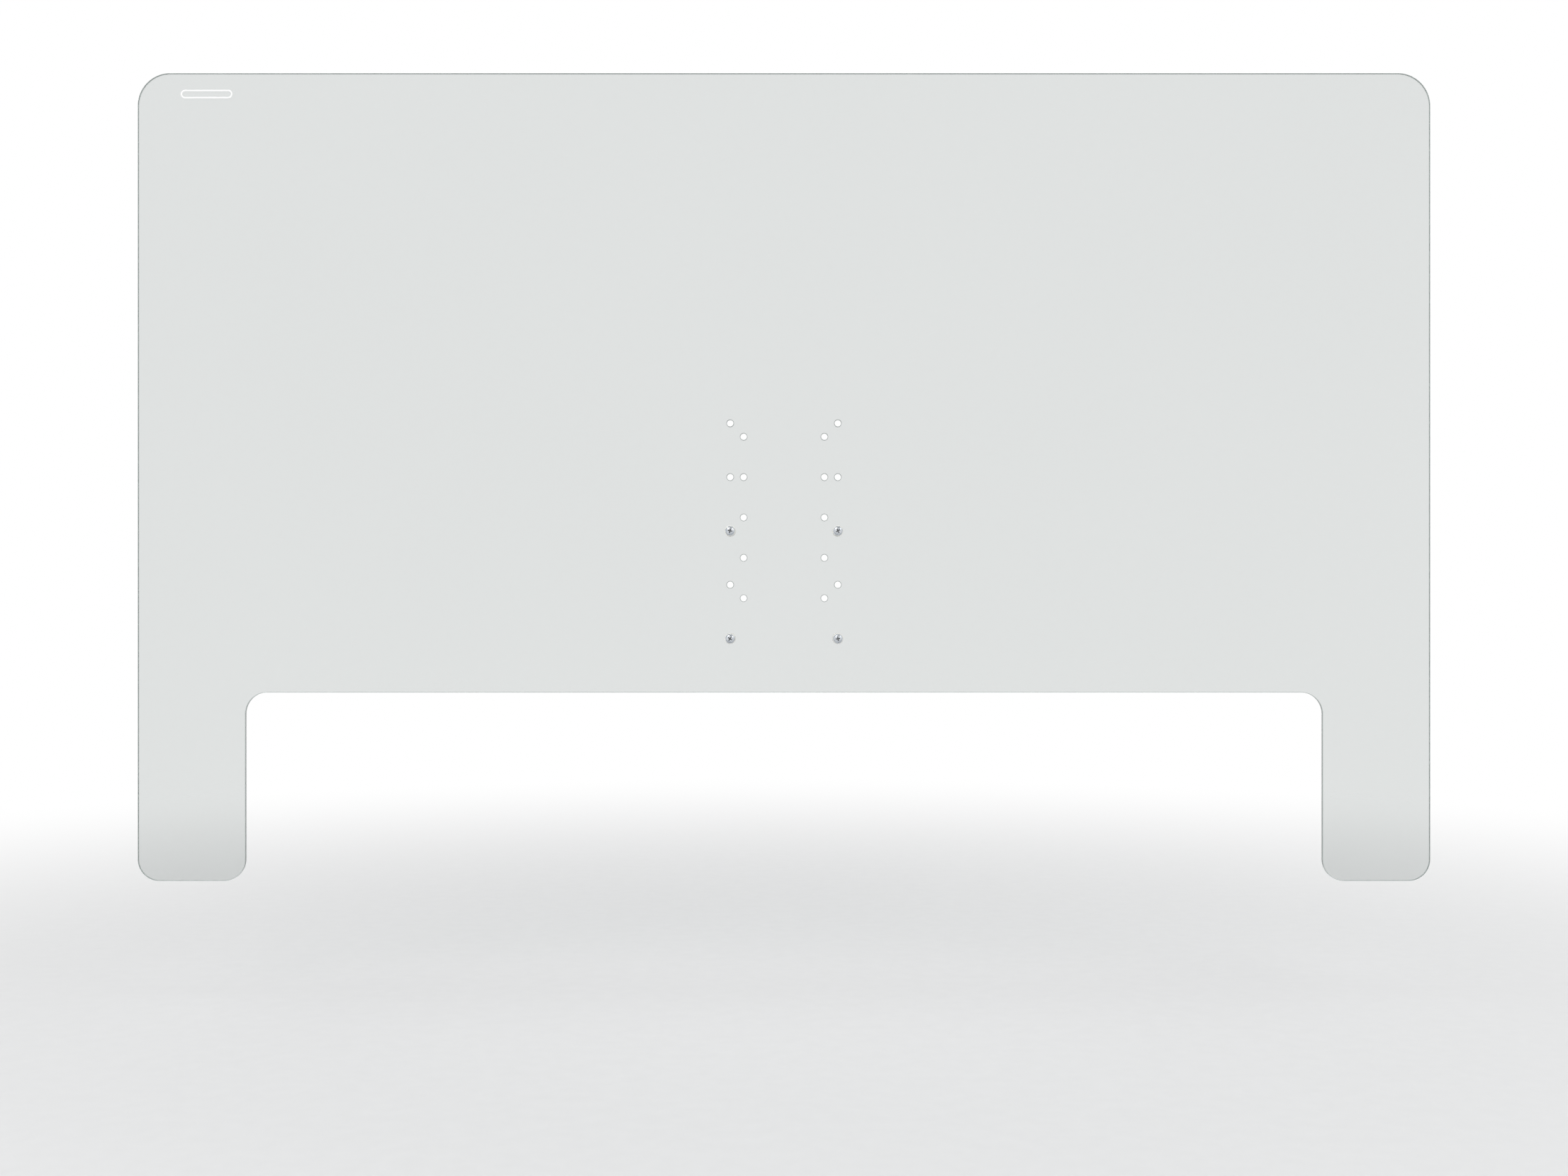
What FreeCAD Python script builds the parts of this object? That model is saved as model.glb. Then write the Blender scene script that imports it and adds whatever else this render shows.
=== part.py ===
"""Clear desk privacy panel that hangs between a monitor and its arm.

Frame: +X right and +Z up as seen from the arm side, +Y towards the monitor and the user.
Origin: centre of the four screws in use, in the plane where the spacers meet the monitor.
Each piece is drawn with y = 0 on the sheet's arm-side face and then placed.
"""

import FreeCAD
import Part
import math
import os
import Sketcher

SIZES = {
    # the sheet
    "sheet_width": 1200,
    "sheet_height": 750,
    "sheet_thickness": 4,
    "top_above_origin": 475,
    "foot_width": 100,
    "notch_height": 175,
    "top_corner_radius": 30,
    "foot_corner_radius": 20,
    "edge_chamfer": 0.5,
    # the monitor holes: a wide and a narrow square pattern, each at three heights
    "hole_diameter": 6,
    "hole_rows": 5,
    "wide_pattern": 100,
    "wide_row_pitch": 50,
    "narrow_pattern": 75,
    "narrow_row_pitch": 37.5,
    # the mark printed on the arm side
    "mark_length": 48,
    "mark_height": 8,
    "mark_line": 1.4,
    "mark_thickness": 0.1,
    "mark_from_side": 40,
    "mark_from_top": 15.5,
    # the M4 screw
    "screw_length": 25,
    "thread_diameter": 4,
    "thread_length": 11,
    "shank_diameter": 3.5,
    "tip_chamfer": 0.5,
    "head_diameter": 8,
    "head_height": 3.1,
    "head_crown": 2.2,
    "recess_width": 4.4,
    "recess_wing": 1,
    "recess_depth": 2,
    # the captive washer under its head
    "washer_diameter": 9,
    "washer_bore": 3.8,
    "washer_thickness": 0.8,
    # the sleeve bush in the hole
    "flange_diameter": 10,
    "flange_thickness": 1,
    "sleeve_diameter": 5.8,
    "sleeve_length": 3.6,
    "clearance_bore": 4.5,
    # the spacer behind the sheet
    "spacer_diameter": 10,
    "spacer_length": 8,
    "moulded_edge": 0.3,
}

CORNERS = {
    "upper_left": (-1, 1),
    "upper_right": (1, 1),
    "lower_left": (-1, -1),
    "lower_right": (1, -1),
}

FIRST_VERTEX = 1
SECOND_VERTEX = 2
CENTRE_POINT = 3
ORIGIN_POINT = (-1, 1)
NEAR = 0.01


def add_sizes(doc):
    """Write the driving dimensions into a spreadsheet, one alias a row."""
    sheet = doc.addObject("Spreadsheet::Sheet", "sizes")
    for row, (alias, value) in enumerate(SIZES.items(), start=1):
        sheet.set(f"A{row}", alias)
        sheet.set(f"B{row}", str(value))
        sheet.setAlias(f"B{row}", alias)
    doc.recompute()


def sized(text):
    """Turn the aliases in a formula into references to the spreadsheet."""
    words = text.split()
    return " ".join(f"<<sizes>>.{word}" if word in SIZES else word for word in words)


def take_factor(doc, words):
    """Take the number, alias or bracket that the words start with, and give its value."""
    word = words.pop(0)
    if word == "(":
        value = take_sum(doc, words)
        words.pop(0)
        return value
    return float(doc.getObject("sizes").get(word) if word in SIZES else word)


def take_product(doc, words):
    """Take factors for as long as they are multiplied or divided."""
    value = take_factor(doc, words)
    while words and words[0] in ("*", "/"):
        if words.pop(0) == "*":
            value *= take_factor(doc, words)
        else:
            value /= take_factor(doc, words)
    return value


def take_sum(doc, words):
    """Take products for as long as they are added or subtracted."""
    value = take_product(doc, words)
    while words and words[0] in ("+", "-"):
        if words.pop(0) == "+":
            value += take_product(doc, words)
        else:
            value -= take_product(doc, words)
    return value


def value_of(doc, formula):
    """Work out a formula with the sheet's present values."""
    return take_sum(doc, formula.split())


def new_body(doc, label):
    body = doc.addObject("PartDesign::Body", label)
    body.Label = label
    return body


def new_sketch(body, name, role):
    """Attach an empty sketch to one of the body's own origin planes."""
    planes = body.Origin.OriginFeatures
    plane = next(feature for feature in planes if feature.Role == role)
    sketch = body.newObject("Sketcher::SketchObject", name)
    sketch.AttachmentSupport = [(plane, "")]
    sketch.MapMode = "FlatFace"
    return sketch


def drive_distance(sketch, kind, element, vertex, formula):
    """Tie a point to the sketch's origin by one distance with a formula."""
    present = value_of(sketch.Document, formula)
    distance = Sketcher.Constraint(kind, *ORIGIN_POINT, element, vertex, present)
    index = sketch.addConstraint(distance)
    sketch.setExpression(f"Constraints[{index}]", sized(formula))


def drive_point(sketch, element, vertex, across, along):
    drive_distance(sketch, "DistanceX", element, vertex, across)
    drive_distance(sketch, "DistanceY", element, vertex, along)


def draw_polygon(sketch, corners):
    """Draw a closed outline whose corners are pairs of formulas."""
    count = len(corners)
    doc = sketch.Document
    places = [[value_of(doc, formula) for formula in corner] for corner in corners]
    points = [FreeCAD.Vector(across, along, 0) for across, along in places]
    for index, point in enumerate(points):
        line = Part.LineSegment(point, points[(index + 1) % count])
        sketch.addGeometry(line, False)
    for index in range(count):
        following = (index + 1) % count
        joined = Sketcher.Constraint(
            "Coincident", index, SECOND_VERTEX, following, FIRST_VERTEX
        )
        sketch.addConstraint(joined)
    for index, (across, along) in enumerate(corners):
        drive_point(sketch, index, FIRST_VERTEX, across, along)


def rectangle(left, right, low, high):
    return [(left, low), (right, low), (right, high), (left, high)]


def extrude(body, kind, sketch, name, formula):
    """Pad or pocket a sketch by a length given as a formula."""
    feature = body.newObject(f"PartDesign::{kind}", name)
    feature.Profile = sketch
    feature.setExpression("Length", sized(formula))
    body.Tip = feature
    return feature


def turned_body(doc, label, outline):
    """Revolve a half outline of (radius, distance along Y) about the Y axis."""
    body = new_body(doc, label)
    sketch = new_sketch(body, f"{label}_outline", "XY_Plane")
    draw_polygon(sketch, outline)
    turned = body.newObject("PartDesign::Revolution", f"{label}_turned")
    turned.Profile = sketch
    turned.ReferenceAxis = (sketch, ["V_Axis"])
    turned.Angle = 360
    body.Tip = turned
    doc.recompute()
    return body


def place(body, across, up):
    """Put a body in the assembly, with its y = 0 on the sheet's arm-side face."""
    depth = "-1 * ( sheet_thickness + spacer_length )"
    for axis, formula in zip("xyz", (across, depth, up)):
        body.setExpression(f"Placement.Base.{axis}", sized(formula))


def place_at_corner(body, corner):
    """Put a body at one corner of the wide pattern."""
    side, level = CORNERS[corner]
    place(body, f"{side} * wide_pattern / 2", f"{level} * wide_pattern / 2")


def edge_names(shape, wanted):
    return [
        f"Edge{index}"
        for index, edge in enumerate(shape.Edges, start=1)
        if wanted(edge)
    ]


def round_corners(doc, body, name, radius, places):
    """Round the edges that cross the sheet at the given (x, z) places."""

    def at_a_place(edge):
        middle = edge.BoundBox.Center
        crosses = edge.BoundBox.YLength > NEAR
        near = any(abs(middle.x - x) + abs(middle.z - z) < NEAR for x, z in places)
        return crosses and near

    base = body.Tip
    rounded = body.newObject("PartDesign::Fillet", name)
    rounded.Base = (base, edge_names(base.Shape, at_a_place))
    rounded.setExpression("Radius", sized(radius))
    body.Tip = rounded
    doc.recompute()


def drill_columns(doc, body, name, pattern, pitch):
    """Drill two mirrored columns of holes, from the top row down."""
    drill = new_sketch(body, f"{name}_top_row", "XZ_Plane")
    top = f"2 * wide_row_pitch + {pattern} / 2"
    for index, side in enumerate((-1, 1)):
        across = f"{side} * {pattern} / 2"
        middle = FreeCAD.Vector(value_of(doc, across), value_of(doc, top), 0)
        radius = value_of(doc, "hole_diameter / 2")
        drill.addGeometry(Part.Circle(middle, FreeCAD.Vector(0, 0, 1), radius), False)
        drive_point(drill, index, CENTRE_POINT, across, top)
        size = drill.addConstraint(Sketcher.Constraint("Diameter", index, 2 * radius))
        drill.setExpression(f"Constraints[{size}]", sized("hole_diameter"))
    holes = extrude(body, "Pocket", drill, f"{name}_holes", "sheet_thickness")
    doc.recompute()
    rows = body.newObject("PartDesign::LinearPattern", f"{name}_rows")
    rows.Originals = [holes]
    rows.Direction = (drill, ["V_Axis"])
    rows.Reversed = True
    rows.setExpression("Length", sized(f"{pitch} * ( hole_rows - 1 )"))
    rows.setExpression("Occurrences", sized("hole_rows"))
    body.Tip = rows
    doc.recompute()


def make_sheet(doc):
    """One flat sheet with two feet, four columns of holes and polished edges."""
    body = new_body(doc, "clear_sheet")
    bottom = "top_above_origin - sheet_height"
    notch_edge = f"{bottom} + notch_height"
    side = "sheet_width / 2"
    inner = "sheet_width / 2 - foot_width"

    blank = new_sketch(body, "sheet_blank", "XZ_Plane")
    draw_polygon(
        blank, rectangle(f"-1 * {side}", side, bottom, "top_above_origin")
    )
    pad = extrude(body, "Pad", blank, "sheet_pad", "sheet_thickness")
    pad.Reversed = True
    doc.recompute()

    gap = new_sketch(body, "notch_outline", "XZ_Plane")
    draw_polygon(
        gap, rectangle(f"-1 * ( {inner} )", inner, bottom, notch_edge)
    )
    extrude(body, "Pocket", gap, "notch", "sheet_thickness")
    doc.recompute()

    right = value_of(doc, side)
    gap_right = value_of(doc, inner)
    top = value_of(doc, "top_above_origin")
    low = value_of(doc, bottom)
    edge = value_of(doc, notch_edge)
    top_corners = [(-right, top), (right, top)]
    foot_corners = [(x, low) for x in (-right, -gap_right, gap_right, right)]
    notch_corners = [(-gap_right, edge), (gap_right, edge)]
    round_corners(doc, body, "top_corners", "top_corner_radius", top_corners)
    round_corners(
        doc, body, "foot_corners", "foot_corner_radius", foot_corners + notch_corners
    )

    drill_columns(doc, body, "wide", "wide_pattern", "wide_row_pitch")
    drill_columns(doc, body, "narrow", "narrow_pattern", "narrow_row_pitch")
    polish_edges(doc, body)
    place(body, "0", "0")


def polish_edges(doc, body):
    """Break every edge of the two faces, the outline and the hole rims alike."""

    def on_a_face(edge):
        return edge.BoundBox.YLength < NEAR

    base = body.Tip
    broken = body.newObject("PartDesign::Chamfer", "polished_edges")
    broken.Base = (base, edge_names(base.Shape, on_a_face))
    broken.setExpression("Size", sized("edge_chamfer"))
    body.Tip = broken
    doc.recompute()


def draw_slot(sketch, length, height):
    """Draw a round-ended slot centred on the sketch's origin."""
    doc = sketch.Document
    half = value_of(doc, f"( {length} - {height} ) / 2")
    radius = value_of(doc, f"{height} / 2")
    for side in (1, -1):
        middle = FreeCAD.Vector(side * half, 0, 0)
        circle = Part.Circle(middle, FreeCAD.Vector(0, 0, 1), radius)
        start = -side * math.pi / 2
        flank_from = FreeCAD.Vector(side * half, side * radius, 0)
        flank_to = FreeCAD.Vector(-side * half, side * radius, 0)
        sketch.addGeometry(Part.ArcOfCircle(circle, start, start + math.pi), False)
        sketch.addGeometry(Part.LineSegment(flank_from, flank_to), False)
    for index in range(4):
        following = (index + 1) % 4
        joined = Sketcher.Constraint(
            "Coincident", index, SECOND_VERTEX, following, FIRST_VERTEX
        )
        sketch.addConstraint(joined)
    for arc, side in ((0, 1), (2, -1)):
        across = f"{side} * ( {length} - {height} ) / 2"
        drive_point(sketch, arc, FIRST_VERTEX, across, f"-1 * {side} * {height} / 2")
        drive_point(sketch, arc, SECOND_VERTEX, across, f"{side} * {height} / 2")
        drive_distance(sketch, "DistanceX", arc, CENTRE_POINT, across)


def make_mark(doc):
    """A wordless outline printed on the arm side, near the upper corner."""
    body = new_body(doc, "corner_mark")
    outer = new_sketch(body, "mark_outer", "XZ_Plane")
    draw_slot(outer, "mark_length", "mark_height")
    extrude(body, "Pad", outer, "mark_ink", "mark_thickness")
    doc.recompute()
    inner = new_sketch(body, "mark_inner", "XZ_Plane")
    draw_slot(
        inner,
        "( mark_length - 2 * mark_line )",
        "( mark_height - 2 * mark_line )",
    )
    opening = extrude(body, "Pocket", inner, "mark_opening", "mark_thickness")
    opening.Reversed = True
    place(
        body,
        "mark_from_side + mark_length / 2 - sheet_width / 2",
        "top_above_origin - mark_from_top - mark_height / 2",
    )
    doc.recompute()


def make_bush(doc, corner):
    """A moulded bush: its flange lies on the arm side, its sleeve fills the hole."""
    bore = "clearance_bore / 2"
    flange = "flange_diameter / 2"
    sleeve = "sleeve_diameter / 2"
    outline = [
        (bore, "-1 * flange_thickness"),
        (f"{flange} - moulded_edge", "-1 * flange_thickness"),
        (flange, "moulded_edge - flange_thickness"),
        (flange, "0"),
        (sleeve, "0"),
        (sleeve, "sleeve_length - moulded_edge"),
        (f"{sleeve} - moulded_edge", "sleeve_length"),
        (bore, "sleeve_length"),
    ]
    place_at_corner(turned_body(doc, f"bush_{corner}", outline), corner)


def make_spacer(doc, corner):
    """A moulded tube that fills the gap from the sheet to the monitor's boss."""
    bore = "clearance_bore / 2"
    outside = "spacer_diameter / 2"
    far_end = "sheet_thickness + spacer_length"
    outline = [
        (bore, "sheet_thickness"),
        (f"{outside} - moulded_edge", "sheet_thickness"),
        (outside, "sheet_thickness + moulded_edge"),
        (outside, f"{far_end} - moulded_edge"),
        (f"{outside} - moulded_edge", far_end),
        (bore, far_end),
    ]
    place_at_corner(turned_body(doc, f"spacer_{corner}", outline), corner)


def make_washer(doc, corner):
    """The flat washer that stays on the screw, under its head."""
    bore = "washer_bore / 2"
    outside = "washer_diameter / 2"
    near_end = "-1 * flange_thickness"
    far_end = "-1 * flange_thickness - washer_thickness"
    outline = [
        (bore, far_end),
        (outside, far_end),
        (outside, near_end),
        (bore, near_end),
    ]
    place_at_corner(turned_body(doc, f"washer_{corner}", outline), corner)


def make_screw(doc, corner):
    """A pan-head screw: crowned head, cross recess, thin shank and threaded end."""
    under_head = "-1 * flange_thickness - washer_thickness"
    top = f"{under_head} - head_height"
    tip = f"{under_head} + screw_length"
    shank = "shank_diameter / 2"
    thread = "thread_diameter / 2"
    thread_start = f"{tip} - thread_length"
    outline = [
        ("0", top),
        ("head_diameter / 2", top),
        ("head_diameter / 2", under_head),
        (shank, under_head),
        (shank, thread_start),
        (thread, thread_start),
        (thread, f"{tip} - tip_chamfer"),
        (f"{thread} - tip_chamfer", tip),
        ("0", tip),
    ]
    label = f"screw_{corner}"
    body = turned_body(doc, label, outline)
    top_level = value_of(doc, top)

    def on_head_rim(edge):
        box = edge.BoundBox
        return box.YLength < NEAR and abs(box.YMin - top_level) < NEAR and box.XLength > NEAR

    turned = body.Tip
    crown = body.newObject("PartDesign::Fillet", f"{label}_crown")
    crown.Base = (turned, edge_names(turned.Shape, on_head_rim))
    crown.setExpression("Radius", sized("head_crown"))
    body.Tip = crown
    doc.recompute()

    wing = new_sketch(body, f"{label}_wing", "XZ_Plane")
    wing.setExpression("AttachmentOffset.Base.z", sized(f"-1 * ( {top} )"))
    half_length = "recess_width / 2"
    half_width = "recess_wing / 2"
    draw_polygon(
        wing,
        rectangle(
            f"-1 * {half_length}", half_length, f"-1 * {half_width}", half_width
        ),
    )
    slot = extrude(body, "Pocket", wing, f"{label}_slot", "recess_depth")
    doc.recompute()
    cross = body.newObject("PartDesign::PolarPattern", f"{label}_cross")
    cross.Originals = [slot]
    cross.Axis = (wing, ["N_Axis"])
    cross.Angle = 90
    cross.Occurrences = 2
    body.Tip = cross
    place_at_corner(body, corner)


def check_document(doc):
    """Stop on any object that failed to recompute without saying so."""
    for item in doc.Objects:
        failed = {"Invalid", "Error"} & set(item.State)
        if failed:
            raise RuntimeError(f"{item.Name} is {failed}")


def export_pieces(doc):
    """Write every body to its own file, named after its label."""
    os.makedirs("parts", exist_ok=True)
    pieces = [item for item in doc.Objects if item.TypeId == "PartDesign::Body"]
    for piece in pieces:
        shape = piece.Shape
        if shape.isNull() or not shape.isValid() or len(shape.Solids) != 1:
            raise RuntimeError(f"{piece.Label} is not one valid solid")
    for piece in pieces:
        piece.Shape.exportStep(f"parts/{piece.Label}.step")
        box = piece.Shape.BoundBox
        low = f"{box.XMin:.2f} {box.YMin:.2f} {box.ZMin:.2f}"
        high = f"{box.XMax:.2f} {box.YMax:.2f} {box.ZMax:.2f}"
        print(f"{piece.Label}: {piece.Shape.Volume:.2f} mm3, from {low} to {high}")


doc = FreeCAD.newDocument("desk_privacy_panel")
add_sizes(doc)
make_sheet(doc)
make_mark(doc)
for corner in CORNERS:
    make_bush(doc, corner)
    make_spacer(doc, corner)
    make_washer(doc, corner)
    make_screw(doc, corner)
doc.recompute()
check_document(doc)
export_pieces(doc)
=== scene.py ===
"""Desk privacy panel: a clear acrylic sheet that four screws hold to the back of a monitor.

Metres, in the panel's own frame: x runs across the sheet, y from the monitor arm towards the
person behind the sheet, and z up. The origin is the middle of the monitor's mounting pattern.
"""

import math

import bmesh
import bpy
from mathutils import Matrix, Vector


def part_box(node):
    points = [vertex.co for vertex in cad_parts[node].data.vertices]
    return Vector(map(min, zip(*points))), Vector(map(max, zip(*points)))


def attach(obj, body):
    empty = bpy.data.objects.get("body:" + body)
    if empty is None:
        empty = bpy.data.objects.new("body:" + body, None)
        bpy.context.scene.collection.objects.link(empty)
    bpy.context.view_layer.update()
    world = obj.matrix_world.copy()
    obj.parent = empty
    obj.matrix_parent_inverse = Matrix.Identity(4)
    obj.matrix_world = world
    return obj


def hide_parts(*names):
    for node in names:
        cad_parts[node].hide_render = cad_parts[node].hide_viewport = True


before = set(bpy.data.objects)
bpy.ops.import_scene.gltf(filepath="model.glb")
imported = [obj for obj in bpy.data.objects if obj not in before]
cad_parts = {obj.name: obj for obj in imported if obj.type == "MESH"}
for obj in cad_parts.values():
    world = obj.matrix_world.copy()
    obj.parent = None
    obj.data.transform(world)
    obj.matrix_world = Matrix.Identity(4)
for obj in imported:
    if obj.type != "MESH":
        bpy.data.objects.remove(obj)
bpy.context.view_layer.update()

# ---------------------------------------------------------------- Camera
# Square to the sheet, on the monitor arm's side of it, and level with the mounting pattern to
# within a few millimetres. The whole sheet is in view, with some air on every side.

sheet_low, sheet_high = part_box("clear_sheet")

camera_distance = 1.69
camera_height = -0.003
camera = bpy.data.objects.new("camera", bpy.data.cameras.new("camera"))
camera.data.sensor_width = 36
camera.data.lens = 41.8
camera.data.clip_start = 0.05
camera.data.clip_end = 60
camera.location = (0, sheet_low.y - camera_distance, camera_height)
camera.rotation_euler = (math.radians(90), 0, 0)
bpy.context.scene.collection.objects.link(camera)
bpy.context.scene.camera = camera

# ---------------------------------------------------------------- Room
# A pale matt floor at desk height that fades into even white air, and soft lamps. None of it
# is part of the panel.

MM = 0.001


def new_material(name):
    """An empty material, its node tree and its output's surface socket."""
    material = bpy.data.materials.new(name)
    material.use_nodes = True
    material.node_tree.nodes.clear()
    output = material.node_tree.nodes.new("ShaderNodeOutputMaterial")
    return material, material.node_tree, output.inputs["Surface"]


def add_node(tree, kind, settings=None, sockets=None):
    """A shader node with its settings, and its sockets linked or given plain values."""
    node = tree.nodes.new("ShaderNode" + kind)
    for name, value in (settings or {}).items():
        setattr(node, name, value)
    for name, value in (sockets or {}).items():
        if isinstance(value, bpy.types.NodeSocket):
            tree.links.new(value, node.inputs[name])
        else:
            node.inputs[name].default_value = value
    return node


def add_object(name, mesh, *materials):
    """An object in the scene that shows this mesh in these materials."""
    for material in materials:
        mesh.materials.append(material)
    thing = bpy.data.objects.new(name, mesh)
    bpy.context.scene.collection.objects.link(thing)
    return thing


def soft_lamp(name, place, side, watts):
    """A square softbox that faces the middle of the mounting pattern."""
    lamp = bpy.data.lights.new(name, "AREA")
    lamp.size = side
    lamp.energy = watts
    softbox = bpy.data.objects.new(name, lamp)
    softbox.location = place
    softbox.rotation_euler = (-Vector(place)).to_track_quat("-Z", "Y").to_euler()
    softbox.visible_camera = False
    bpy.context.scene.collection.objects.link(softbox)


bpy.context.scene.view_settings.view_transform = "Standard"

air_brightness = 1.0
overhead_brightness = 0.35
dimming_starts, dimming_ends = 0.35, 0.95
air = bpy.data.worlds.new("studio_air")
air.use_nodes = True
sky = air.node_tree
height = add_node(
    sky, "SeparateXYZ", None, {0: add_node(sky, "TexCoord").outputs["Generated"]}
)
overhead = add_node(
    sky,
    "MapRange",
    {"interpolation_type": "SMOOTHSTEP"},
    {
        "Value": height.outputs["Z"],
        "From Min": dimming_starts,
        "From Max": dimming_ends,
        "To Min": air_brightness,
        "To Max": overhead_brightness,
    },
)
sky.links.new(overhead.outputs["Result"], sky.nodes["Background"].inputs["Strength"])
sky.nodes["Background"].inputs["Color"].default_value = (1, 1, 1, 1)
bpy.context.scene.world = air

desk_gap = 0.1
floor_radius = 30
floor_fade_start = 0.3
floor_fade_end = 1.9

floor_mesh = bpy.data.meshes.new("floor")
floor_shape = bmesh.new()
bmesh.ops.create_circle(floor_shape, cap_ends=True, segments=96, radius=floor_radius)
floor_shape.to_mesh(floor_mesh)
floor_shape.free()

floor_paint, tree, surface = new_material("floor_paint")
where = add_node(tree, "TexCoord")
from_middle = add_node(
    tree, "VectorMath", {"operation": "LENGTH"}, {0: where.outputs["Object"]}
)
fade = add_node(
    tree,
    "MapRange",
    {"interpolation_type": "SMOOTHSTEP"},
    {
        "Value": from_middle.outputs["Value"],
        "From Min": floor_fade_start,
        "From Max": floor_fade_end,
    },
)
mottle = add_node(
    tree, "TexNoise", None, {"Vector": where.outputs["Object"], "Scale": 60, "Detail": 4}
)
paint_colour = add_node(
    tree,
    "Mix",
    {"data_type": "RGBA"},
    {
        "Factor": mottle.outputs["Fac"],
        "A": (0.71, 0.715, 0.72, 1),
        "B": (0.75, 0.755, 0.76, 1),
    },
)
paint = add_node(
    tree,
    "BsdfPrincipled",
    None,
    {"Base Color": paint_colour.outputs["Result"], "Roughness": 0.7},
)
glow = add_node(tree, "Emission", None, {"Strength": air_brightness})
faded = add_node(
    tree,
    "MixShader",
    None,
    {0: fade.outputs["Result"], 1: paint.outputs["BSDF"], 2: glow.outputs["Emission"]},
)
tree.links.new(faded.outputs["Shader"], surface)

floor = add_object("floor", floor_mesh, floor_paint)
floor.location.z = sheet_low.z - desk_gap

soft_lamp("key_lamp", (-1.3, -1.5, 2.1), 1.4, 26)
soft_lamp("fill_lamp", (1.7, -0.9, 1.5), 1.2, 10)
soft_lamp("back_lamp", (0.4, 1.9, 1.9), 1.4, 11)

# ---------------------------------------------------------------- Clear sheet
# One piece of 4 mm clear cast acrylic, routed to shape with two feet beside a wide notch, with
# its edges rounded over and polished. Its twenty holes are drilled, and their rims are eased.

foot_width = 100 * MM
notch_height = 175 * MM
foot_radius = 20 * MM
notch_radius = 20 * MM
top_radius = 30 * MM
edge_break = 0.5 * MM
hole_radius = 3 * MM
edge_steps = 4
arc_steps = 20
hole_steps = 64

wide_column, wide_step, wide_top = 50 * MM, 50 * MM, 150 * MM
narrow_column, narrow_step, narrow_top = 37.5 * MM, 37.5 * MM, 137.5 * MM
rows = 5


def effect_group(name, inputs, outputs):
    """A shader node group with these number inputs and outputs, and its two end nodes."""
    tree = bpy.data.node_groups.new(name, "ShaderNodeTree")
    for label, value in inputs.items():
        socket = tree.interface.new_socket(
            label, in_out="INPUT", socket_type="NodeSocketFloat"
        )
        socket.default_value = value
    for label in outputs:
        tree.interface.new_socket(label, in_out="OUTPUT", socket_type="NodeSocketFloat")
    return tree, tree.nodes.new("NodeGroupInput"), tree.nodes.new("NodeGroupOutput")


def add_effect(tree, group, sockets):
    """One use of an effect group in a material, with its own values."""
    node = tree.nodes.new("ShaderNodeGroup")
    node.node_tree = group
    for name, value in sockets.items():
        node.inputs[name].default_value = value
    return node


def smudge_effect():
    """Patches where fingers have left a thin film, broken up by skin lines."""
    tree, given, result = effect_group(
        "handling_smudges", {"Scale": 9, "Amount": 1}, ["Mask"]
    )
    where = add_node(tree, "TexCoord")
    patches = add_node(
        tree,
        "TexNoise",
        None,
        {
            "Vector": where.outputs["Object"],
            "Scale": given.outputs["Scale"],
            "Detail": 4,
            "Distortion": 0.7,
        },
    )
    patch = add_node(
        tree,
        "MapRange",
        {"interpolation_type": "SMOOTHSTEP"},
        {"Value": patches.outputs["Fac"], "From Min": 0.52, "From Max": 0.72},
    )
    finer = add_node(
        tree, "Math", {"operation": "MULTIPLY"}, {0: given.outputs["Scale"], 1: 23}
    )
    streaks = add_node(
        tree,
        "TexNoise",
        None,
        {"Vector": where.outputs["Object"], "Scale": finer.outputs["Value"], "Detail": 3},
    )
    broken = add_node(
        tree,
        "Math",
        {"operation": "MULTIPLY"},
        {0: patch.outputs["Result"], 1: streaks.outputs["Fac"]},
    )
    amount = add_node(
        tree,
        "Math",
        {"operation": "MULTIPLY", "use_clamp": True},
        {0: broken.outputs["Value"], 1: given.outputs["Amount"]},
    )
    tree.links.new(amount.outputs["Value"], result.inputs["Mask"])
    return tree


def scratch_effect():
    """Hairlines from wiping: two sets of long thin lines that cross at a shallow angle."""
    tree, given, result = effect_group(
        "hairline_scratches", {"Scale": 40, "Amount": 1}, ["Mask"]
    )
    where = add_node(tree, "TexCoord")
    sets = []
    for turn, stretch in ((17, 0.03), (-31, 0.045)):
        lie = add_node(
            tree,
            "Mapping",
            None,
            {
                "Vector": where.outputs["Object"],
                "Rotation": (0, math.radians(turn), 0),
                "Scale": (stretch, 1, 1),
            },
        )
        lines = add_node(
            tree,
            "TexNoise",
            None,
            {
                "Vector": lie.outputs["Vector"],
                "Scale": given.outputs["Scale"],
                "Detail": 6,
                "Roughness": 0.7,
            },
        )
        off_line = add_node(
            tree, "Math", {"operation": "SUBTRACT"}, {0: lines.outputs["Fac"], 1: 0.5}
        )
        distance = add_node(
            tree, "Math", {"operation": "ABSOLUTE"}, {0: off_line.outputs["Value"]}
        )
        sets.append(
            add_node(
                tree,
                "MapRange",
                None,
                {
                    "Value": distance.outputs["Value"],
                    "From Max": 0.004,
                    "To Min": 1,
                    "To Max": 0,
                },
            )
        )
    either = add_node(
        tree,
        "Math",
        {"operation": "MAXIMUM"},
        {0: sets[0].outputs["Result"], 1: sets[1].outputs["Result"]},
    )
    amount = add_node(
        tree,
        "Math",
        {"operation": "MULTIPLY"},
        {0: either.outputs["Value"], 1: given.outputs["Amount"]},
    )
    tree.links.new(amount.outputs["Value"], result.inputs["Mask"])
    return tree


handling_smudges = smudge_effect()
hairline_scratches = scratch_effect()


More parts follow.
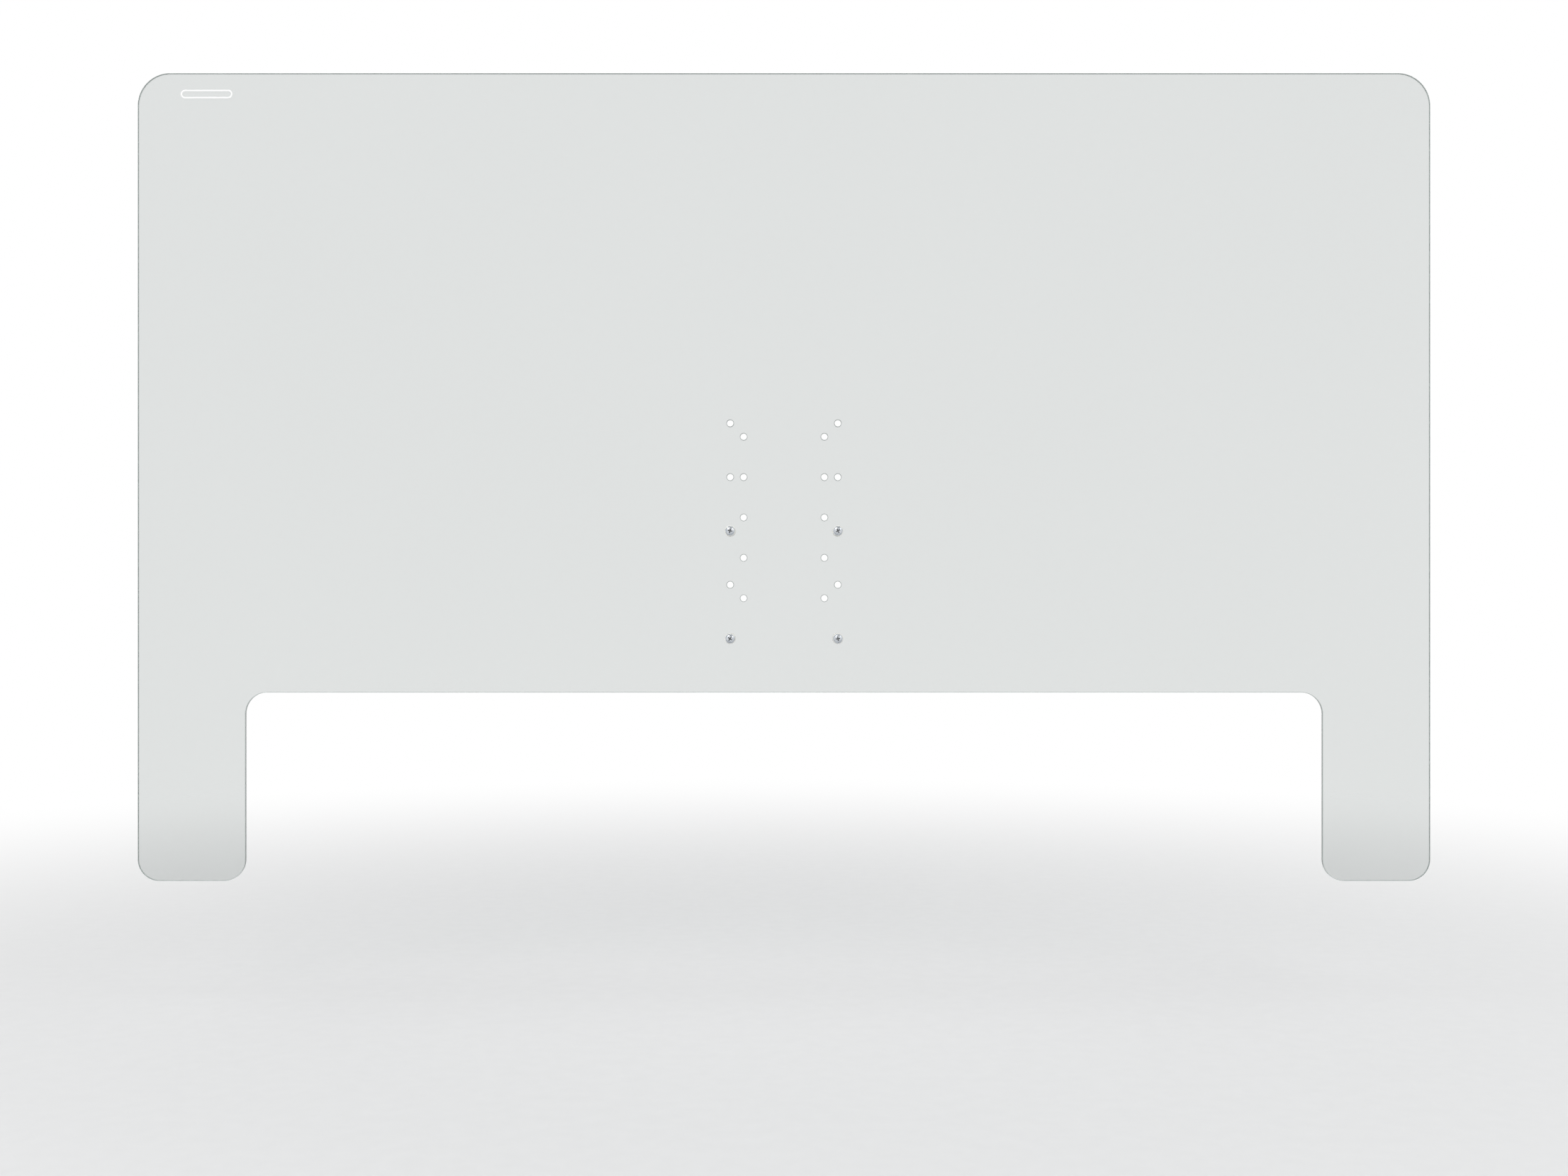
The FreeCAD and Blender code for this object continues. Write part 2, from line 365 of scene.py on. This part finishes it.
def let_lamps_through(tree, acrylic, tint, surface):
    """Joins clear acrylic to the output so that it casts a pale shadow and not a black one."""
    path = add_node(tree, "LightPath")
    pale_shadow = add_node(tree, "BsdfTransparent", None, {"Color": tint})
    joined = add_node(
        tree,
        "MixShader",
        None,
        {
            0: path.outputs["Is Shadow Ray"],
            1: acrylic.outputs["BSDF"],
            2: pale_shadow.outputs["BSDF"],
        },
    )
    tree.links.new(joined.outputs["Shader"], surface)


def acrylic_face():
    """The sheet's cast faces: clear, faintly grey green, with a film of handling."""
    material, tree, surface = new_material("clear_acrylic_face")
    where = add_node(tree, "TexCoord")
    cast = add_node(
        tree, "TexNoise", None, {"Vector": where.outputs["Object"], "Scale": 2.5, "Detail": 2}
    )
    tint = add_node(
        tree,
        "Mix",
        {"data_type": "RGBA"},
        {
            "Factor": cast.outputs["Fac"],
            "A": (0.72, 0.739, 0.733, 1),
            "B": (0.74, 0.758, 0.753, 1),
        },
    )
    smudges = add_effect(tree, handling_smudges, {"Scale": 7, "Amount": 0.10})
    scratches = add_effect(tree, hairline_scratches, {"Scale": 30, "Amount": 0.12})
    film = add_node(
        tree,
        "Math",
        {"operation": "ADD"},
        {0: smudges.outputs["Mask"], 1: scratches.outputs["Mask"]},
    )
    wave = add_node(
        tree, "TexNoise", None, {"Vector": where.outputs["Object"], "Scale": 5, "Detail": 1}
    )
    ripple = add_node(
        tree,
        "Bump",
        None,
        {"Height": wave.outputs["Fac"], "Strength": 0.2, "Distance": 0.3 * MM},
    )
    acrylic = add_node(
        tree,
        "BsdfPrincipled",
        None,
        {
            "Base Color": tint.outputs["Result"],
            "Roughness": film.outputs["Value"],
            "Normal": ripple.outputs["Normal"],
            "IOR": 1.49,
            "Transmission Weight": 1,
        },
    )
    let_lamps_through(tree, acrylic, (0.93, 0.94, 0.94, 1), surface)
    return material


def acrylic_cut(name, dark, light, sheen, clearness):
    """Cut acrylic with painted shade: a darker, less clear copy of the sheet's acrylic, so
    that the cut reads as a grey green line, across fine tool lines that follow the cut.
    """
    material, tree, surface = new_material(name)
    where = add_node(tree, "TexCoord")
    along = add_node(
        tree,
        "Mapping",
        None,
        {"Vector": where.outputs["Object"], "Scale": (1, 40, 1)},
    )
    lines = add_node(
        tree, "TexNoise", None, {"Vector": along.outputs["Vector"], "Scale": 90, "Detail": 4}
    )
    tint = add_node(
        tree,
        "Mix",
        {"data_type": "RGBA"},
        {"Factor": lines.outputs["Fac"], "A": dark, "B": light},
    )
    gloss = add_node(
        tree,
        "MapRange",
        None,
        {"Value": lines.outputs["Fac"], "To Min": sheen[0], "To Max": sheen[1]},
    )
    ridges = add_node(
        tree,
        "Bump",
        None,
        {"Height": lines.outputs["Fac"], "Strength": 0.3, "Distance": 0.02 * MM},
    )
    acrylic = add_node(
        tree,
        "BsdfPrincipled",
        None,
        {
            "Base Color": tint.outputs["Result"],
            "Roughness": gloss.outputs["Result"],
            "Normal": ridges.outputs["Normal"],
            "IOR": 1.49,
            "Transmission Weight": clearness,
        },
    )
    let_lamps_through(tree, acrylic, (0.6, 0.65, 0.63, 1), surface)
    return material


def sheet_corners():
    """The sheet's outline before rounding: x, z and corner radius, anticlockwise."""
    left, right = sheet_low.x, sheet_high.x
    bottom, top = sheet_low.z, sheet_high.z
    notch = bottom + notch_height
    return [
        (left, bottom, foot_radius),
        (left + foot_width, bottom, foot_radius),
        (left + foot_width, notch, notch_radius),
        (right - foot_width, notch, notch_radius),
        (right - foot_width, bottom, foot_radius),
        (right, bottom, foot_radius),
        (right, top, top_radius),
        (left, top, top_radius),
    ]


def rounded_outline(inset):
    """The outline with its corners rounded, moved inwards by inset."""
    corners = sheet_corners()
    outline = []
    for index, (x, z, radius) in enumerate(corners):
        corner = Vector((x, z))
        before = Vector(corners[index - 1][:2])
        after = Vector(corners[(index + 1) % len(corners)][:2])
        arriving, leaving = (corner - before).normalized(), (after - corner).normalized()
        inwards = Vector((-arriving.y, arriving.x)) + Vector((-leaving.y, leaving.x))
        outside = arriving.cross(leaving) > 0
        radius += -inset if outside else inset
        corner += inwards * inset
        centre = corner + (leaving - arriving) * radius
        for step in range(arc_steps + 1):
            angle = math.radians(90) * step / arc_steps
            out_of_leaving = leaving * radius * math.cos(angle)
            outline.append(centre - out_of_leaving + arriving * radius * math.sin(angle))
    return outline


def hole_centres():
    """The x and z of each hole, in two wide and two narrow columns."""
    columns = ((wide_column, wide_step, wide_top), (narrow_column, narrow_step, narrow_top))
    return [
        (side * column, top - step * row)
        for column, step, top in columns
        for side in (-1, 1)
        for row in range(rows)
    ]


def hole_outline(centre, inset):
    """A hole's rim, moved into the acrylic by inset."""
    turns = (2 * math.pi * step / hole_steps for step in range(hole_steps))
    radius = hole_radius + inset
    return [
        Vector((centre[0] + radius * math.sin(turn), centre[1] + radius * math.cos(turn)))
        for turn in turns
    ]


def edge_section():
    """Inset and y across an edge, from the arm side to the other: broken, straight, broken."""
    rounds = (math.radians(90) * step / edge_steps for step in range(edge_steps + 1))
    front = [
        (
            edge_break * (1 - math.sin(turn)),
            sheet_low.y + edge_break * (1 - math.cos(turn)),
        )
        for turn in rounds
    ]
    back = [(inset, sheet_low.y + sheet_high.y - y) for inset, y in reversed(front)]
    return front + back


def skin(shape, loops, material=0, wrap=False):
    """Makes smooth faces from each loop of points to the next, and gives the vertices."""
    rings = [[shape.verts.new(point) for point in loop] for loop in loops]
    pairs = list(zip(rings, rings[1:]))
    if wrap:
        pairs.append((rings[-1], rings[0]))
    for ring, following in pairs:
        for index in range(len(ring)):
            after = (index + 1) % len(ring)
            face = shape.faces.new(
                (ring[index], ring[after], following[after], following[index])
            )
            face.smooth = True
            face.material_index = material
    return rings


def flat_fill(shape, rings):
    """One flat face's triangles, between its outline and its holes."""
    edges = [
        shape.edges.get((ring[index - 1], ring[index]))
        for ring in rings
        for index in range(len(ring))
    ]
    bmesh.ops.triangle_fill(shape, use_beauty=True, edges=edges)


def close_mesh(shape, name):
    """The finished mesh, with its faces all turned outwards."""
    bmesh.ops.recalc_face_normals(shape, faces=shape.faces)
    mesh = bpy.data.meshes.new(name)
    shape.to_mesh(mesh)
    shape.free()
    return mesh


def even_shading(thing):
    """Shades flats as flat, and keeps the light's change to the rounded edges."""
    weights = thing.modifiers.new("even_shading", "WEIGHTED_NORMAL")
    weights.keep_sharp = True


section = edge_section()
sheet_shape = bmesh.new()
edges = [
    skin(
        sheet_shape,
        [[(p.x, y, p.y) for p in rounded_outline(inset)] for inset, y in section],
        material=1,
    )
]
for centre in hole_centres():
    edges.append(
        skin(
            sheet_shape,
            [[(p.x, y, p.y) for p in hole_outline(centre, inset)] for inset, y in section],
            material=2,
        )
    )
flat_fill(sheet_shape, [rings[0] for rings in edges])
flat_fill(sheet_shape, [rings[-1] for rings in edges])

# Painted shade: the polished outline is a darker grey green than the faces, so that it reads
# as a dark line.
polished_outline = acrylic_cut(
    "clear_acrylic_outline", (0.36, 0.41, 0.40, 1), (0.54, 0.59, 0.57, 1), (0.06, 0.22), 0.6
)
# Painted shade: the drilled walls are darker still, for the shade inside the holes.
drilled_wall = acrylic_cut(
    "clear_acrylic_drilled", (0.24, 0.27, 0.26, 1), (0.38, 0.41, 0.40, 1), (0.25, 0.5), 0.35
)
sheet = add_object(
    "panel_sheet",
    close_mesh(sheet_shape, "panel_sheet"),
    acrylic_face(),
    polished_outline,
    drilled_wall,
)
even_shading(sheet)
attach(sheet, "panel")
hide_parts("clear_sheet")

# ---------------------------------------------------------------- Corner mark
# A wordless pill outline, screen printed in white ink on the arm's side of the sheet. The ink
# stands a tenth of a millimetre proud, thinner at its rims than along its middle.

mark_low, mark_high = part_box("corner_mark")
mark_line = 1.4 * MM
# The hair of air behind the ink, so that no two faces lie in one plane
mark_off_sheet = 0.02 * MM
mark_lip = 0.02 * MM
mark_rim = 0.12 * MM
mark_arc_steps = 32


def mark_ink():
    """White screen ink: matt, with a faint mesh pattern and pinholes."""
    material, tree, surface = new_material("white_screen_ink")
    where = add_node(tree, "TexCoord")
    mesh_print = add_node(
        tree, "TexNoise", None, {"Vector": where.outputs["Object"], "Scale": 4500, "Detail": 2}
    )
    cover = add_node(
        tree, "TexNoise", None, {"Vector": where.outputs["Object"], "Scale": 380, "Detail": 3}
    )
    white = add_node(
        tree,
        "Mix",
        {"data_type": "RGBA"},
        {
            "Factor": cover.outputs["Fac"],
            "A": (0.80, 0.81, 0.81, 1),
            "B": (0.89, 0.89, 0.88, 1),
        },
    )
    dots = add_node(
        tree,
        "Bump",
        None,
        {"Height": mesh_print.outputs["Fac"], "Strength": 0.4, "Distance": 0.02 * MM},
    )
    ink = add_node(
        tree,
        "BsdfPrincipled",
        None,
        {
            "Base Color": white.outputs["Result"],
            "Roughness": 0.55,
            "Normal": dots.outputs["Normal"],
        },
    )
    tree.links.new(ink.outputs["BSDF"], surface)
    return material


def pill_outline(inset):
    """The mark's outline, moved inwards by inset: two half rounds joined by straights."""
    radius = (mark_high.z - mark_low.z) / 2
    middle = (mark_high.z + mark_low.z) / 2
    outline = []
    for end, centre in ((1, mark_high.x - radius), (-1, mark_low.x + radius)):
        for step in range(mark_arc_steps + 1):
            angle = math.pi * step / mark_arc_steps
            outline.append(
                (
                    centre + end * (radius - inset) * math.sin(angle),
                    middle + end * (radius - inset) * math.cos(angle),
                )
            )
    return outline


ink_back, ink_front = mark_high.y - mark_off_sheet, mark_low.y
ink_height = ink_front - ink_back
ink_section = [
    (0, ink_back),
    (mark_lip, ink_back + 0.5 * ink_height),
    (mark_rim, ink_back + 0.85 * ink_height),
    (mark_line / 2, ink_front),
    (mark_line - mark_rim, ink_back + 0.85 * ink_height),
    (mark_line - mark_lip, ink_back + 0.5 * ink_height),
    (mark_line, ink_back),
]
mark_shape = bmesh.new()
skin(
    mark_shape,
    [[(x, y, z) for x, z in pill_outline(inset)] for inset, y in ink_section],
    wrap=True,
)
mark = add_object("printed_mark", close_mesh(mark_shape, "printed_mark"), mark_ink())
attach(mark, "panel")
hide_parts("corner_mark")

# ---------------------------------------------------------------- Flanged bushes
# Four moulded nylon sleeves, one pushed into each hole in use from the arm side. The flange
# keeps the arm's steel plate off the acrylic, and the sleeve centres the screw.

positions = ("upper_left", "upper_right", "lower_left", "lower_right")
# The hair of air between a nylon part and the sheet's face
off_sheet = 0.03 * MM
turned_steps = 64


def grain_effect():
    """The fine uneven surface of moulded or plated parts, as a shade and a height."""
    tree, given, result = effect_group(
        "surface_grain", {"Scale": 900, "Contrast": 1}, ["Shade", "Height"]
    )
    where = add_node(tree, "TexCoord")
    broad = add_node(
        tree,
        "TexNoise",
        None,
        {"Vector": where.outputs["Object"], "Scale": given.outputs["Scale"], "Detail": 5},
    )
    finer = add_node(
        tree, "Math", {"operation": "MULTIPLY"}, {0: given.outputs["Scale"], 1: 5.3}
    )
    fine = add_node(
        tree,
        "TexNoise",
        None,
        {"Vector": where.outputs["Object"], "Scale": finer.outputs["Value"], "Detail": 2},
    )
    centred = add_node(
        tree, "Math", {"operation": "SUBTRACT"}, {0: broad.outputs["Fac"], 1: 0.5}
    )
    stretched = add_node(
        tree,
        "Math",
        {"operation": "MULTIPLY"},
        {0: centred.outputs["Value"], 1: given.outputs["Contrast"]},
    )
    shade = add_node(
        tree,
        "Math",
        {"operation": "ADD", "use_clamp": True},
        {0: stretched.outputs["Value"], 1: 0.5},
    )
    tree.links.new(shade.outputs["Value"], result.inputs["Shade"])
    tree.links.new(fine.outputs["Fac"], result.inputs["Height"])
    return tree


surface_grain = grain_effect()


def moulded_nylon():
    """Natural nylon: milky, a little translucent, satin from the mould."""
    material, tree, surface = new_material("natural_nylon_moulding")
    grain = add_effect(tree, surface_grain, {"Scale": 420, "Contrast": 2.2})
    smudges = add_effect(tree, handling_smudges, {"Scale": 160, "Amount": 0.6})
    milk = add_node(
        tree,
        "Mix",
        {"data_type": "RGBA"},
        {
            "Factor": grain.outputs["Shade"],
            "A": (0.78, 0.76, 0.69, 1),
            "B": (0.87, 0.86, 0.81, 1),
        },
    )
    satin = add_node(
        tree,
        "MapRange",
        None,
        {"Value": smudges.outputs["Mask"], "To Min": 0.46, "To Max": 0.3},
    )
    skin_bump = add_node(
        tree,
        "Bump",
        None,
        {"Height": grain.outputs["Height"], "Strength": 0.35, "Distance": 0.03 * MM},
    )
    nylon = add_node(
        tree,
        "BsdfPrincipled",
        None,
        {
            "Base Color": milk.outputs["Result"],
            "Roughness": satin.outputs["Result"],
            "Normal": skin_bump.outputs["Normal"],
            "IOR": 1.53,
            "Subsurface Weight": 0.25,
            "Subsurface Radius": (1.2 * MM, 1.1 * MM, 0.9 * MM),
            "Subsurface Scale": 1,
        },
    )
    tree.links.new(nylon.outputs["BSDF"], surface)
    return material


def softened(section, steps=3):
    """A turned part's section, its corners rounded: each has a radius, a y and a cut."""
    rounded = []
    for index, (radius, y, cut) in enumerate(section):
        corner = Vector((radius, y))
        if not cut:
            rounded.append(corner)
            continue
        before = Vector(section[index - 1][:2])
        after = Vector(section[(index + 1) % len(section)][:2])
        start = corner + (before - corner).normalized() * cut
        end = corner + (after - corner).normalized() * cut
        for step in range(steps + 1):
            share = step / steps
            rounded.append(
                start * (1 - share) ** 2 + corner * 2 * share * (1 - share) + end * share**2
            )
    return rounded


def turned_mesh(name, section, x, z):
    """A ring turned about its own axis, which runs along y through x and z."""
    loops = []
    for radius, y in section:
        turns = (2 * math.pi * step / turned_steps for step in range(turned_steps))
        loops.append(
            [(x + radius * math.sin(turn), y, z + radius * math.cos(turn)) for turn in turns]
        )
    shape = bmesh.new()
    skin(shape, loops, wrap=True)
    return close_mesh(shape, name)


def middle_of(node):
    """The x and z of a turned node's axis."""
    low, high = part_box(node)
    return (low.x + high.x) / 2, (low.z + high.z) / 2


natural_nylon = moulded_nylon()

bush_bore = 2.25 * MM
sleeve_radius = 2.9 * MM

for position in positions:
    low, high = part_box("bush_" + position)
    flange_radius = (high.x - low.x) / 2
    flange_back = sheet_low.y - off_sheet
    bush_section = softened(
        [
            (bush_bore, low.y, 0.25 * MM),
            (flange_radius, low.y, 0.3 * MM),
            (flange_radius, flange_back, 0.15 * MM),
            (sleeve_radius, flange_back, 0),
            (sleeve_radius, high.y, 0.2 * MM),
            (bush_bore, high.y, 0.1 * MM),
        ]
    )
    name = "flanged_bush_" + position
    bush = add_object(
        name, turned_mesh(name, bush_section, *middle_of("bush_" + position)), natural_nylon
    )
    even_shading(bush)
    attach(bush, "panel")
    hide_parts("bush_" + position)

# ---------------------------------------------------------------- Spacers
# Four moulded nylon tubes between the sheet and the monitor. They reach down to the monitor's
# threaded inserts, and the screws clamp them end to end.

spacer_bore = 2.25 * MM

for position in positions:
    low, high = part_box("spacer_" + position)
    spacer_radius = (high.x - low.x) / 2
    spacer_section = softened(
        [
            (spacer_bore, low.y + off_sheet, 0.3 * MM),
            (spacer_radius, low.y + off_sheet, 0.4 * MM),
            (spacer_radius, high.y, 0.4 * MM),
            (spacer_bore, high.y, 0.3 * MM),
        ]
    )
    name = "tube_spacer_" + position
    spacer = add_object(
        name,
        turned_mesh(name, spacer_section, *middle_of("spacer_" + position)),
        natural_nylon,
    )
    even_shading(spacer)
    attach(spacer, "panel")
    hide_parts("spacer_" + position)

# ---------------------------------------------------------------- Washers
# Four flat washers, punched from steel strip and zinc plated. Punching rolls one rim over and
# leaves the other crisp. Each is held on its screw, under the head.


def plated_steel():
    """Bright zinc over steel: pale, faintly blue, with grain, wipe marks and dull patches, and
    painted shade in the screws' cross recesses.
    """
    material, tree, surface = new_material("bright_zinc_plate")
    grain = add_effect(tree, surface_grain, {"Scale": 650, "Contrast": 2.6})
    smudges = add_effect(tree, handling_smudges, {"Scale": 260, "Amount": 0.9})
    scratches = add_effect(tree, hairline_scratches, {"Scale": 900, "Amount": 0.7})
    zinc = add_node(
        tree,
        "Mix",
        {"data_type": "RGBA"},
        {
            "Factor": grain.outputs["Shade"],
            "A": (0.44, 0.475, 0.52, 1),
            "B": (0.74, 0.76, 0.785, 1),
        },
    )
    dulled = add_node(
        tree,
        "Math",
        {"operation": "MAXIMUM"},
        {0: smudges.outputs["Mask"], 1: scratches.outputs["Mask"]},
    )
    sheen = add_node(
        tree,
        "MapRange",
        None,
        {"Value": dulled.outputs["Value"], "To Min": 0.22, "To Max": 0.5},
    )
    pitted = add_node(
        tree,
        "Bump",
        None,
        {"Height": grain.outputs["Height"], "Strength": 0.3, "Distance": 0.02 * MM},
    )
    # Painted shade: the screws' cross recesses are mixed towards dark grey, more so with
    # depth.
    recess_shade = add_node(tree, "Attribute", {"attribute_name": "recess_shade"})
    recess_shaded = add_node(
        tree,
        "Mix",
        {"data_type": "RGBA"},
        {
            "Factor": recess_shade.outputs["Fac"],
            "A": zinc.outputs["Result"],
            "B": (0.27, 0.275, 0.28, 1),
        },
    )
    plate = add_node(
        tree,
        "BsdfPrincipled",
        None,
        {
            "Base Color": recess_shaded.outputs["Result"],
            "Roughness": sheen.outputs["Result"],
            "Normal": pitted.outputs["Normal"],
            "Metallic": 1,
        },
    )
    tree.links.new(plate.outputs["BSDF"], surface)
    return material


bright_zinc = plated_steel()
washer_bore = 1.9 * MM

for position in positions:
    low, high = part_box("washer_" + position)
    washer_radius = (high.x - low.x) / 2
    washer_section = softened(
        [
            (washer_bore, low.y, 0.16 * MM),
            (washer_radius, low.y, 0.22 * MM),
            (washer_radius, high.y, 0.06 * MM),
            (washer_bore, high.y, 0.06 * MM),
        ]
    )
    name = "flat_washer_" + position
    washer = add_object(
        name,
        turned_mesh(name, washer_section, *middle_of("washer_" + position)),
        bright_zinc,
    )
    even_shading(washer)
    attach(washer, "washer_" + position)
    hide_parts("washer_" + position)

# ---------------------------------------------------------------- Screws
# Four M4 pan head screws of bright zinc-plated steel. The heads are stamped with a tapered
# cross recess, and the last 11 mm of each reduced shank carries a rolled right-hand thread.

pitch = 0.7
crest_radius = 2.0
root_radius = 1.571
shank_radius = 1.75
thread_length = 11.0
tip_chamfer = 0.5
head_radius = 4.0
head_height = 3.1
head_side = 0.9
crown_steps = 12
crown_fullness = 2.4
screw_steps = 48

# The cross recess at the crown's top: its wings' reach and half width, and the half width of
# its middle. Each shrinks by its taper for every millimetre down.
recess_depth = 2.0
recess_reach, reach_taper = 2.2, 0.46
recess_wing, wing_taper = 0.5, 0.07
recess_hub, hub_taper = 1.0, 0.17
recess_point = 0.45
cutter_clearance = 0.5
# Painted shade in the cross recess: how far below the crown's top it starts, and over what
# depth it reaches full darkness, in millimetres.
recess_shade_starts = 0.35
recess_shade_range = 1.2

# One pitch of the thread's profile: the share of the pitch, and the radius there
thread_section = (
    (0.0, 1.985),
    (0.03, crest_radius),
    (0.095, crest_radius),
    (0.125, 1.985),
    (0.30, 1.79),
    (0.47, 1.592),
    (0.51, root_radius),
    (0.615, root_radius),
    (0.655, 1.592),
    (0.83, 1.79),
)

# How far each screw had turned when it came tight, in degrees
tight_turns = {"upper_left": 12, "upper_right": -28, "lower_left": 34, "lower_right": -9}


def around(radius, y, steps=screw_steps):
    """A ring of points about the y axis."""
    turns = (2 * math.pi * step / steps for step in range(steps))
    return [(radius * math.sin(turn), y, radius * math.cos(turn)) for turn in turns]


def head_rings(underside, thread_start):
    """The screw from the top of its crown, down its side and under the head, to the thread."""
    rings = []
    crown_height = head_height - head_side
    for step in range(1, crown_steps + 1):
        rise = math.radians(90) * (1 - step / crown_steps)
        radius = head_radius * math.cos(rise) ** (2 / crown_fullness)
        height = head_side + crown_height * math.sin(rise) ** (2 / crown_fullness)
        rings.append(around(radius, underside - height))
    for radius, y in (
        (head_radius, underside - 0.2),
        (head_radius - 0.05, underside - 0.06),
        (head_radius - 0.18, underside),
        (shank_radius + 0.14, underside),
        (shank_radius + 0.04, underside + 0.04),
        (shank_radius, underside + 0.14),
        (shank_radius, (underside + thread_start) / 2),
        (shank_radius, thread_start),
    ):
        rings.append(around(radius, y))
    return rings


def thread_point(row, column, start):
    """A point of the thread's surface: rows follow its profile, and columns go round it."""
    share, radius = thread_section[row % len(thread_section)]
    turn = column / screw_steps
    along = pitch * (row // len(thread_section) + share + turn)
    if along <= 0:
        radius, along = shank_radius, 0
    runout = min(1, along / pitch)
    radius = shank_radius + (radius - shank_radius) * runout * runout * (3 - 2 * runout)
    if along >= thread_length:
        along = thread_length
        radius = crest_radius - tip_chamfer
    radius = min(radius, crest_radius - tip_chamfer + (thread_length - along))
    angle = 2 * math.pi * turn
    return radius * math.sin(angle), start + along, radius * math.cos(angle)


def add_thread(shape, start):
    """The rolled thread, one helical strip from the shank to the chamfered tip."""
    first = -len(thread_section)
    last = (math.ceil(thread_length / pitch) + 1) * len(thread_section)
    grid = {
        (row, column): shape.verts.new(thread_point(row, column, start))
        for row in range(first, last + 1)
        for column in range(screw_steps)
    }
    for row in range(first, last):
        for column in range(screw_steps):
            if column + 1 < screw_steps:
                ahead, ahead_up = (row, column + 1), (row + 1, column + 1)
            else:
                ahead = (row + len(thread_section), 0)
                ahead_up = (row + 1 + len(thread_section), 0)
            if ahead_up not in grid:
                continue
            face = shape.faces.new(
                (grid[row, column], grid[ahead], grid[ahead_up], grid[row + 1, column])
            )
            face.smooth = True
    bmesh.ops.remove_doubles(shape, verts=shape.verts, dist=0.002)
    bmesh.ops.dissolve_degenerate(shape, edges=shape.edges, dist=0.001)


def recess_cutter(top):
    """The driver's tapered cross, as a closed shape that reaches above the crown."""
    shape = bmesh.new()
    loops = []
    for depth in (-cutter_clearance, recess_depth):
        reach = recess_reach - reach_taper * depth
        wing = recess_wing - wing_taper * depth
        hub = recess_hub - hub_taper * depth
        quarter = [(reach, -wing), (reach, wing), (hub, wing)]
        cross = []
        for turn in range(4):
            for across, up in quarter + [(wing, hub)]:
                for _ in range(turn):
                    across, up = -up, across
                cross.append((across, top + depth, up))
        loops.append(cross)
    rings = skin(shape, loops)
    shape.faces.new(rings[0])
    tip = shape.verts.new((0, top + recess_depth + recess_point, 0))
    for index in range(len(rings[-1])):
        shape.faces.new((rings[-1][index - 1], rings[-1][index], tip))
    for face in shape.faces:
        face.smooth = False
    return close_mesh(shape, "recess_cutter")


def screw_mesh(underside, thread_start):
    """One screw in millimetres about the y axis, with its recess cut and painted shade marked
    in the recess, darker with depth.
    """
    shape = bmesh.new()
    rings = skin(shape, head_rings(underside, thread_start))
    top = shape.verts.new((0, underside - head_height, 0))
    for index in range(screw_steps):
        face = shape.faces.new((rings[0][index - 1], rings[0][index], top))
        face.smooth = True
    add_thread(shape, thread_start)
    open_edges = [edge for edge in shape.edges if edge.is_boundary]
    bmesh.ops.edgeloop_fill(shape, edges=open_edges)
    blank = add_object("screw_blank", close_mesh(shape, "screw_blank"))
    cutter = add_object("recess_cutter", recess_cutter(underside - head_height))
    cut = blank.modifiers.new("recess", "BOOLEAN")
    cut.operation = "DIFFERENCE"
    cut.solver = "EXACT"
    cut.object = cutter
    depsgraph = bpy.context.evaluated_depsgraph_get()
    mesh = bpy.data.meshes.new_from_object(blank.evaluated_get(depsgraph))
    bpy.data.objects.remove(cutter)
    bpy.data.objects.remove(blank)
    # Painted shade: zero outside the recess, rising with depth inside it.
    recess_shade = mesh.attributes.new("recess_shade", "FLOAT", "POINT")
    recess_bottom = recess_depth + recess_point + 0.15
    for index, vertex in enumerate(mesh.vertices):
        sunk = vertex.co.y - (underside - head_height)
        reach = math.hypot(vertex.co.x, vertex.co.z)
        inside = sunk < recess_bottom and reach < recess_reach + 0.1
        share = (sunk - recess_shade_starts) / recess_shade_range
        recess_shade.data[index].value = min(1, max(0, share)) if inside else 0
    return mesh


screw_low, screw_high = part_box("screw_upper_left")
screw_underside = screw_low.y / MM + head_height
screw_thread_start = screw_high.y / MM - thread_length
screw_pattern = screw_mesh(screw_underside, screw_thread_start)

for position in positions:
    name = "pan_screw_" + position
    x, z = middle_of("screw_" + position)
    mesh = screw_pattern.copy()
    mesh.name = name
    mesh.transform(
        Matrix.Translation((x, 0, z))
        @ Matrix.Rotation(math.radians(tight_turns[position]), 4, "Y")
        @ Matrix.Scale(MM, 4)
    )
    screw = add_object(name, mesh, bright_zinc)
    even_shading(screw)
    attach(screw, "screw_" + position)
    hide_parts("screw_" + position)
bpy.data.meshes.remove(screw_pattern)
